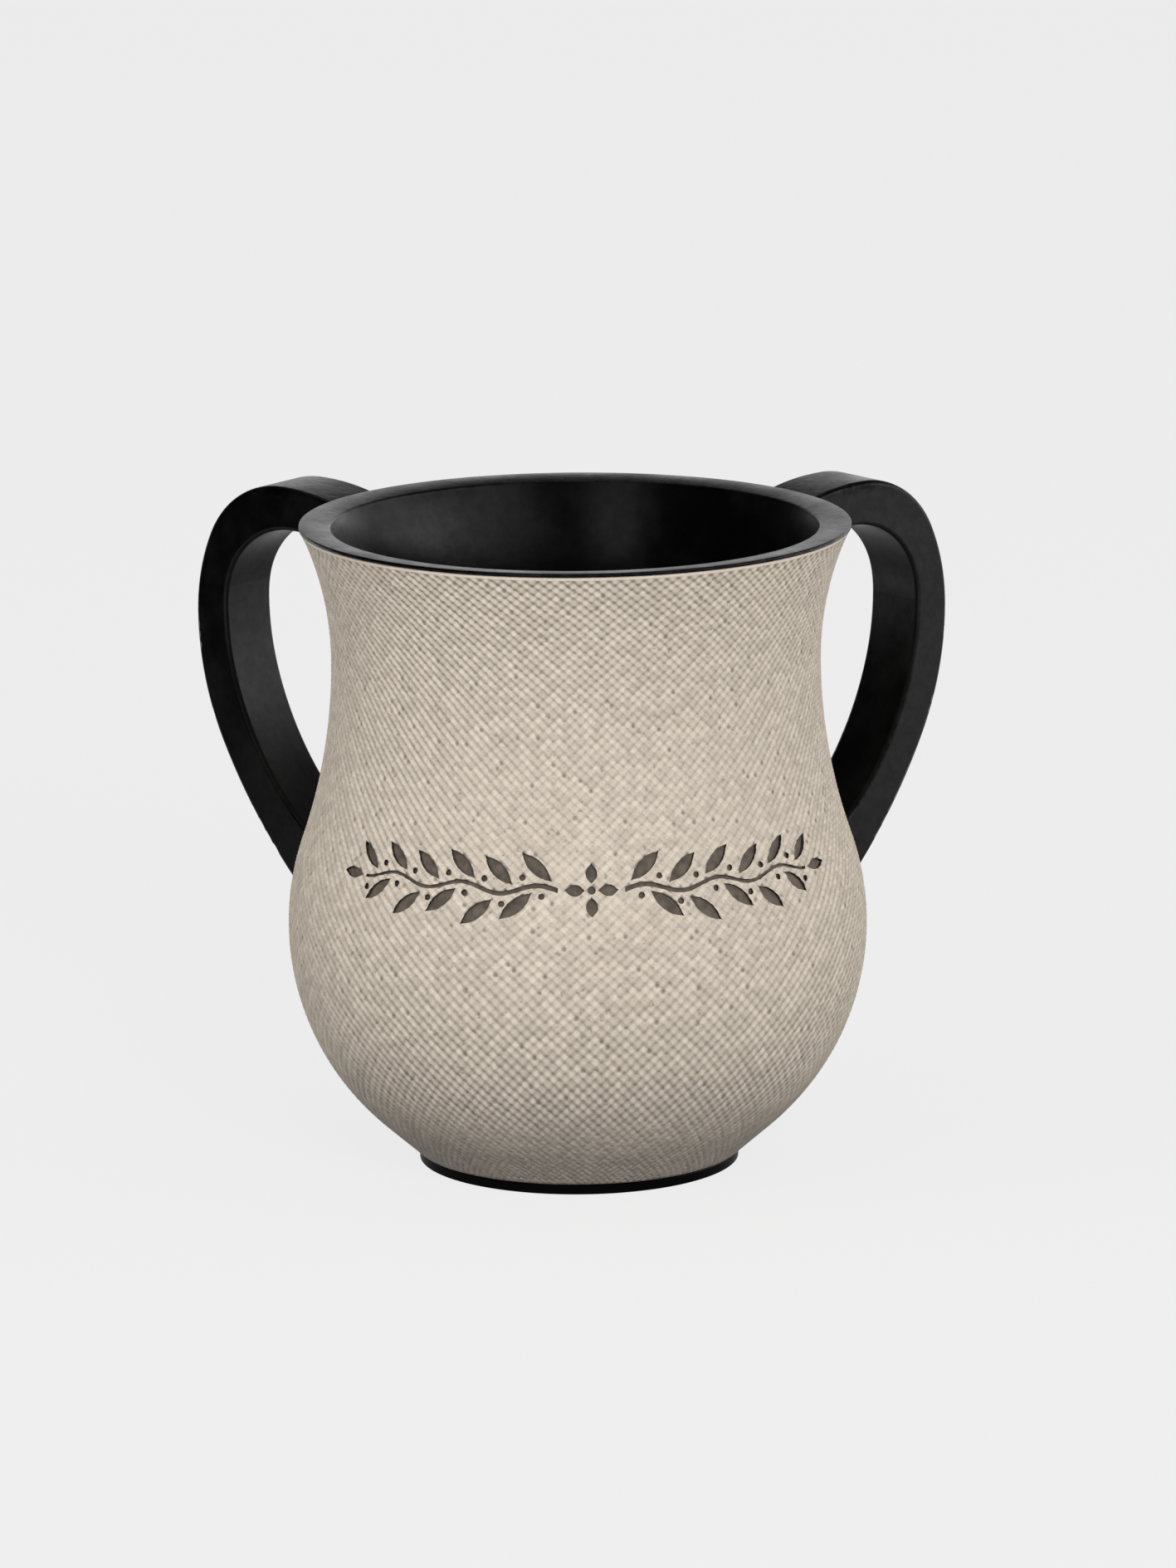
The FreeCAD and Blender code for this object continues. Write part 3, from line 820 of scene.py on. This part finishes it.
def make_liner_mesh():
    """The liner: its floor and bore, a softly domed rim, and its back against the jacket."""
    o = outline()
    back = o.jacket_wall + o.bond_gap
    bore = back + o.liner_wall
    flare = wall_arcs(bore)[2]
    inner, outer = o.rim_inner_round, o.rim_outer_round
    near, far = o.rim_inner_lean, o.rim_outer_lean

    # the level where the bore ends depends on the dome, and the dome's width on that level
    high = o.rim_level
    for _ in range(RIM_TRIES):
        turn = turn_at(flare, high)
        reach = flare.reach - (flare.radius - inner) * math.cos(turn)
        width = o.rim_radius - outer - reach + inner * math.sin(near) + outer * math.sin(far)
        dome = width / (math.sin(near) + math.sin(far))
        high = o.rim_level - dome * (1 - math.cos(near)) - inner * (math.cos(near) - math.sin(turn))

    bm = bmesh.new()
    middle = o.floor_top + o.floor_round
    centre, _ = slope_ends(middle, bore + o.floor_round)
    low = middle + o.floor_round * math.sin(slope_turn())
    last = run_to(bm, bm.verts.new((0, 0, o.floor_top)), centre.x, o.floor_top)
    last = round_off(bm, last, centre, slope_turn() + math.pi / 2, FLOOR_STEPS)
    last = carry_on(bm, last, wall_stretches(low, high, bore, LINER_STEPS)[1])

    inner_steps, dome_steps, outer_steps = RIM_STEPS
    centre = (reach, 0, high - inner * math.sin(turn))
    last = round_off(bm, last, centre, -(math.pi / 2 - turn - near), inner_steps)
    centre = (reach + (dome - inner) * math.sin(near), 0, o.rim_level - dome)
    last = round_off(bm, last, centre, -near - far, dome_steps)
    centre = (o.rim_radius - outer, 0, last.co.z - outer * math.cos(far))
    last = round_off(bm, last, centre, -(math.pi / 2 - far), outer_steps)
    last = run_to(bm, last, o.rim_radius, o.lip_level)

    start, stretches = wall_stretches(o.web_top, o.lip_level, back, LINER_STEPS)
    under = bm.verts.new(start)
    bm.edges.new((last, carry_on(bm, under, stretches)))
    run_to(bm, under, 0, o.web_top)
    turn_round(bm, LINER_ROUND_STEPS)
    return bm


# engraved branch


def leaf(bm, length, width, place):
    """A pointed leaf in the flat, its stalk end at the origin before it is placed."""
    disc = bmesh.ops.create_circle(bm, cap_ends=True, segments=LEAF_STEPS, radius=1.0)["verts"]
    for v in disc:
        v.co.y *= 1 - abs(v.co.x) ** 3
        v.co = Vector(((v.co.x + 1) * length / 2, v.co.y * width / 2, 0))
    bmesh.ops.transform(bm, matrix=place, verts=disc)


def berry(bm, radius, x, y):
    """A round berry in the flat."""
    disc = bmesh.ops.create_circle(bm, cap_ends=True, segments=BERRY_STEPS, radius=radius)["verts"]
    bmesh.ops.transform(bm, matrix=Matrix.Translation((x, y, 0)), verts=disc)


def stem_level(x):
    """How far the waving stem lies over its middle line."""
    return STEM_WAVE * math.sin(math.tau * (x - STEM_START) / STEM_PITCH)


def stem(bm, end):
    """A stem in the flat that waves up and down and thins to its tip."""
    strip = bmesh.ops.create_grid(bm, x_segments=STEM_STEPS, y_segments=1, size=0.5)["verts"]
    for v in strip:
        along = v.co.x + 0.5
        x = STEM_START + (end - STEM_START) * along
        thick = STEM_WIDTH * (1 - STEM_TAPER_SHARE * along)
        v.co = Vector((x, stem_level(x) + v.co.y * thick, 0))


def flat_branch():
    """One side of the branch, in the flat: stem, leaves above and below it, and berries."""
    look = bpy.context.scene.ornament_look
    bm = bmesh.new()
    end = look.reach - STEM_SHORT
    stem(bm, end)
    x = STEM_START + LEAF_START
    side = 1
    while x < look.reach - LEAVES_SHORT:
        full = 1 - LEAF_TAPER_SHARE * (x / look.reach) ** 2
        stalk = Matrix.Translation((x, stem_level(x) + side * LEAF_CLEAR, 0))
        place = stalk @ Matrix.Rotation(side * LEAF_LEAN, 4, "Z")
        leaf(bm, look.leaf_length * full, look.leaf_width * full, place)
        beyond = x + BERRY_AHEAD
        berry(bm, BERRY_RADIUS, beyond, stem_level(beyond) - side * BERRY_CLEAR)
        x += STEM_PITCH / 4
        side = -side
    length_share, width_share = TIP_LEAF_SHARES
    place = Matrix.Translation((end + TIP_LEAF_CLEAR, stem_level(end), 0))
    leaf(bm, look.leaf_length * length_share, look.leaf_width * width_share, place)
    return bm


def flat_rosette(bm):
    """The middle of the branch: four petals, and a berry between them."""
    for quarter in range(4):
        turned = Matrix.Rotation(quarter * math.pi / 2, 4, "Z")
        leaf(bm, PETAL_LENGTH, PETAL_WIDTH, turned @ Matrix.Translation((PETAL_CLEAR, 0, 0)))
    berry(bm, MIDDLE_BERRY_RADIUS, 0, 0)


def wrap(point):
    """A point of the flat, wrapped on the wall: x runs round the cup, y up it and z out of it."""
    look = bpy.context.scene.ornament_look
    belly, waist, _ = wall_arcs()
    middle = turn_at(belly, look.level)
    shoulder = shoulder_turn(belly, waist)
    turn = middle + point.y / belly.radius
    if turn <= shoulder:
        arc, hollow = belly, 1
    else:
        arc, hollow = waist, -1
        turn = shoulder - (turn - shoulder) * belly.radius / waist.radius
    out = hollow * arc.radius + point.z
    reach = arc.reach + out * math.cos(turn)
    level = arc.level + out * math.sin(turn)
    round_reach = belly.reach + belly.radius * math.cos(middle)
    turn = look.turn + point.x / round_reach - math.pi / 2
    return Vector((reach * math.cos(turn), reach * math.sin(turn), level))


def make_cutter_mesh():
    """The branch as a cutter: each stroke has walls square to the jacket and a flat floor."""
    look = bpy.context.scene.ornament_look
    bm = flat_branch()
    halves = bm.verts[:] + bm.edges[:] + bm.faces[:]
    bmesh.ops.mirror(bm, geom=halves, axis="X", merge_dist=-1)
    flat_rosette(bm)
    bmesh.ops.recalc_face_normals(bm, faces=bm.faces)
    floor = bm.faces[:]
    for face in floor:
        if face.normal.z < 0:
            face.normal_flip()
    raised = bmesh.ops.extrude_face_region(bm, geom=floor, use_keep_orig=True)
    top = [part for part in raised["geom"] if isinstance(part, bmesh.types.BMVert)]
    bmesh.ops.translate(bm, verts=top, vec=(0, 0, CUTTER_RISE))
    low = {v for face in floor for v in face.verts}
    bmesh.ops.translate(bm, verts=list(low), vec=(0, 0, -look.depth))
    for face in bm.faces:
        face.material_index = FLOOR_SLOT if all(v in low for v in face.verts) else EDGE_SLOT
    for v in bm.verts:
        v.co = wrap(v.co)
    bmesh.ops.recalc_face_normals(bm, faces=bm.faces)
    return bm


# studio


def direction(turn, rise):
    """A direction by its turn from the front to the right and its rise, both in degrees."""
    turn, rise = math.radians(turn), math.radians(rise)
    return Vector((
        math.sin(turn) * math.cos(rise), -math.cos(turn) * math.cos(rise), math.sin(rise)))


def make_table(look):
    """A wide pale table that keeps the cup's shadow. Shiny pieces mirror it darker by the cup."""
    n = Nodes("pale_table")
    n.tree.nodes.remove(n.shader)
    camera, shiny = n.rays()
    reach = n.add("ShaderNodeVectorMath", operation="LENGTH", inputs={0: n.position()})
    nearby = n.ramp(reach.outputs["Value"], *DARK_TABLE_REACH, DARK_TABLE_SHARE, 1.0)
    seen = n.maths("MAXIMUM", camera, n.maths("MULTIPLY", shiny, nearby))
    strength = n.maths("MAXIMUM", n.maths("MULTIPLY", seen, TABLE_SEEN), TABLE_GLOW)
    glow = n.add(
        "ShaderNodeEmission", inputs={"Color": colour(look.table_colour), "Strength": strength})
    cloth = n.add("ShaderNodeBsdfDiffuse", inputs={"Color": TABLE_SHADED})
    both = n.add("ShaderNodeAddShader", inputs={0: glow.outputs[0], 1: cloth.outputs[0]})
    n.put(n.tree.nodes["Material Output"].inputs["Surface"], both.outputs[0])
    bm = bmesh.new()
    bmesh.ops.create_grid(bm, x_segments=1, y_segments=1, size=TABLE_REACH)
    table = link_mesh(bm, "table", (n.material,))


def make_world(look):
    """Even light from all round, and a pale backdrop. Shiny pieces mirror a dark room in front."""
    world = bpy.data.worlds.new("studio")
    bpy.context.scene.world = world
    world.use_nodes = True
    n = Nodes(tree=world.node_tree)
    n.tree.nodes.clear()
    camera, shiny = n.rays()
    where = n.add("ShaderNodeTexCoord").outputs["Generated"]
    aside, ahead, above = n.split(where)

    # dark in front, overhead and far left, slightly brighter at the right, with four soft glows
    room = n.ramp(ahead, -0.7, 0.1, 0.08, 1.0)
    room = n.maths("MULTIPLY", room, n.ramp(above, 0.45, 0.2, 0.12, 1.0))
    room = n.maths("MULTIPLY", room, n.ramp(aside, -0.75, -0.15, 0.06, 1.0))
    room = n.maths("MULTIPLY", room, n.ramp(aside, -0.1, 0.15, 1.0, 1.15))
    for turn, rise, strength in GLOWS:
        toward = n.add(
            "ShaderNodeVectorMath", operation="DOT_PRODUCT",
            inputs={0: where, 1: direction(turn, rise)})
        room = n.maths("ADD", room, n.ramp(toward.outputs["Value"], *GLOW_SPREAD, 0.0, strength))

    level = n.maths("ADD", camera, n.maths("MULTIPLY", shiny, room))
    ambient = n.add(
        "ShaderNodeBackground", inputs={"Color": (1, 1, 1, 1), "Strength": look.ambient})
    backdrop = n.add(
        "ShaderNodeBackground", inputs={"Color": colour(look.table_colour), "Strength": level})
    seen = n.maths("MAXIMUM", camera, shiny)
    shaders = {0: seen, 1: ambient.outputs[0], 2: backdrop.outputs[0]}
    mix = n.add("ShaderNodeMixShader", inputs=shaders)
    n.add("ShaderNodeOutputWorld", inputs={"Surface": mix.outputs[0]})


def soft_lamp(name, turn, rise, away, size, power):
    """A square soft box aimed at the cup. Its turn and rise are as direction takes them."""
    lamp = bpy.data.lights.new(name, "AREA")
    lamp.size = size
    lamp.energy = power
    item = bpy.data.objects.new(name, lamp)
    item.visible_glossy = name in MIRRORED_LAMPS
    item.location = LAMP_AIM + away * direction(turn, rise)
    item.rotation_euler = (LAMP_AIM - item.location).to_track_quat("-Z", "Y").to_euler()
    bpy.context.scene.collection.objects.link(item)


def make_flag(name, place, size, turn):
    """An upright black card that darkens what the black parts mirror. Only reflections see it."""
    bm = bmesh.new()
    bmesh.ops.create_grid(bm, x_segments=1, y_segments=1, size=0.5)
    bmesh.ops.scale(bm, verts=bm.verts, vec=(*size, 1))
    for angle, axis in ((90, "X"), (turn, "Z")):
        rotation = Matrix.Rotation(math.radians(angle), 3, axis)
        bmesh.ops.rotate(bm, verts=bm.verts, matrix=rotation)
    bmesh.ops.translate(bm, verts=bm.verts, vec=place)
    black = Nodes(name).finish(Base_Color=FLAG_COLOUR, Roughness=1.0, Specular_IOR_Level=0.0)
    card = link_mesh(bm, name, (black,))
    card.visible_camera = card.visible_diffuse = card.visible_shadow = False


def make_camera(scene):
    """The photographed view."""
    pitch, roll, yaw = CAMERA_PITCH, CAMERA_ROLL, CAMERA_YAW
    ahead = Vector((
        math.sin(yaw) * math.cos(pitch), math.cos(yaw) * math.cos(pitch), -math.sin(pitch)))
    right = Vector((math.cos(yaw), -math.sin(yaw), 0))
    up = right.cross(ahead)
    side = right * math.cos(roll) + up * math.sin(roll)
    head = up * math.cos(roll) - right * math.sin(roll)
    view = bpy.data.cameras.new("camera")
    view.sensor_width = SENSOR_MM
    view.lens = FOCAL_PIXELS * view.sensor_width / PICTURE_HEIGHT_PIXELS
    view.clip_start, view.clip_end = CLIP_RANGE
    camera = bpy.data.objects.new("camera", view)
    camera.matrix_world = Matrix.Rotation(CAMERA_ORBIT, 4, "Z") @ Matrix((
        (side.x, head.x, -ahead.x, 0.0),
        (side.y, head.y, -ahead.y, -CAMERA_AWAY),
        (side.z, head.z, -ahead.z, CAMERA_LEVEL),
        (0.0, 0.0, 0.0, 1.0),
    ))
    scene.collection.objects.link(camera)
    scene.camera = camera


# operators and panel


class CUP_OT_jacket(bpy.types.Operator):
    """Make the woven jacket, with the branch engraved on its front"""

    bl_idname = "washing_cup.jacket"
    bl_label = "Jacket"

    def execute(self, context):
        materials = (woven_stone(), engraved_stain(), engraved_edge())
        jacket = finish_piece(
            make_jacket_mesh(), "woven_jacket", materials, "woven_stone", "jacket")
        engrave(jacket, link_mesh(make_cutter_mesh(), "branch_cutter", materials))
        return {"FINISHED"}


class CUP_OT_black_parts(bpy.types.Operator):
    """Finish the liner and the two handles in black resin"""

    bl_idname = "washing_cup.black_parts"
    bl_label = "Liner and handles"

    def execute(self, context):
        resin = black_resin()
        finish_piece(make_liner_mesh(), "black_liner", (resin,), "black_resin", "inner_cup")
        for name in ("right_handle", "left_handle"):
            give_finish(name, resin)
        return {"FINISHED"}


class CUP_OT_foot(bpy.types.Operator):
    """Finish the foot, its pad and the hidden pins"""

    bl_idname = "washing_cup.foot"
    bl_label = "Foot, pad and pins"

    def execute(self, context):
        give_finish("foot", black_gloss())
        give_finish("base_pad", pad_felt())
        steel = pin_steel()
        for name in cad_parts:
            if name.endswith("_pin"):
                give_finish(name, steel)
        return {"FINISHED"}


class CUP_OT_studio(bpy.types.Operator):
    """Set up the pale table, the soft lamps and the camera"""

    bl_idname = "washing_cup.studio"
    bl_label = "Studio"

    def execute(self, context):
        look = context.scene.studio_look
        make_table(look)
        make_world(look)
        make_flag("left_flag", place=(-0.36, -0.24, 0.30), size=(0.8, 0.7), turn=80)
        for name, placing in LAMPS.items():
            soft_lamp(name, *placing, getattr(look, name))
        make_camera(context.scene)
        context.scene.view_settings.view_transform = "Standard"
        return {"FINISHED"}


class CUP_PT_sidebar(bpy.types.Panel):
    """The making steps, in order"""

    bl_idname = "CUP_PT_sidebar"
    bl_label = "Washing Cup"
    bl_space_type = "VIEW_3D"
    bl_region_type = "UI"
    bl_category = "Washing Cup"

    def draw(self, context):
        for step in STEPS:
            self.layout.operator(step.bl_idname)


LOOKS = {
    "cup_outline": CupOutline,
    "weave_look": WeaveLook,
    "ornament_look": OrnamentLook,
    "resin_look": ResinLook,
    "studio_look": StudioLook,
}
STEPS = (CUP_OT_jacket, CUP_OT_black_parts, CUP_OT_foot, CUP_OT_studio)


def register():
    for item in (*LOOKS.values(), *STEPS, CUP_PT_sidebar):
        bpy.utils.register_class(item)
    for name, item in LOOKS.items():
        setattr(bpy.types.Scene, name, PointerProperty(type=item))


def unregister():
    for name in LOOKS:
        delattr(bpy.types.Scene, name)
    for item in (CUP_PT_sidebar, *reversed(STEPS), *reversed(LOOKS.values())):
        bpy.utils.unregister_class(item)


def main():
    register()
    bpy.ops.washing_cup.jacket()
    bpy.ops.washing_cup.black_parts()
    bpy.ops.washing_cup.foot()
    bpy.ops.washing_cup.studio()


if __name__ == "__main__":
    main()
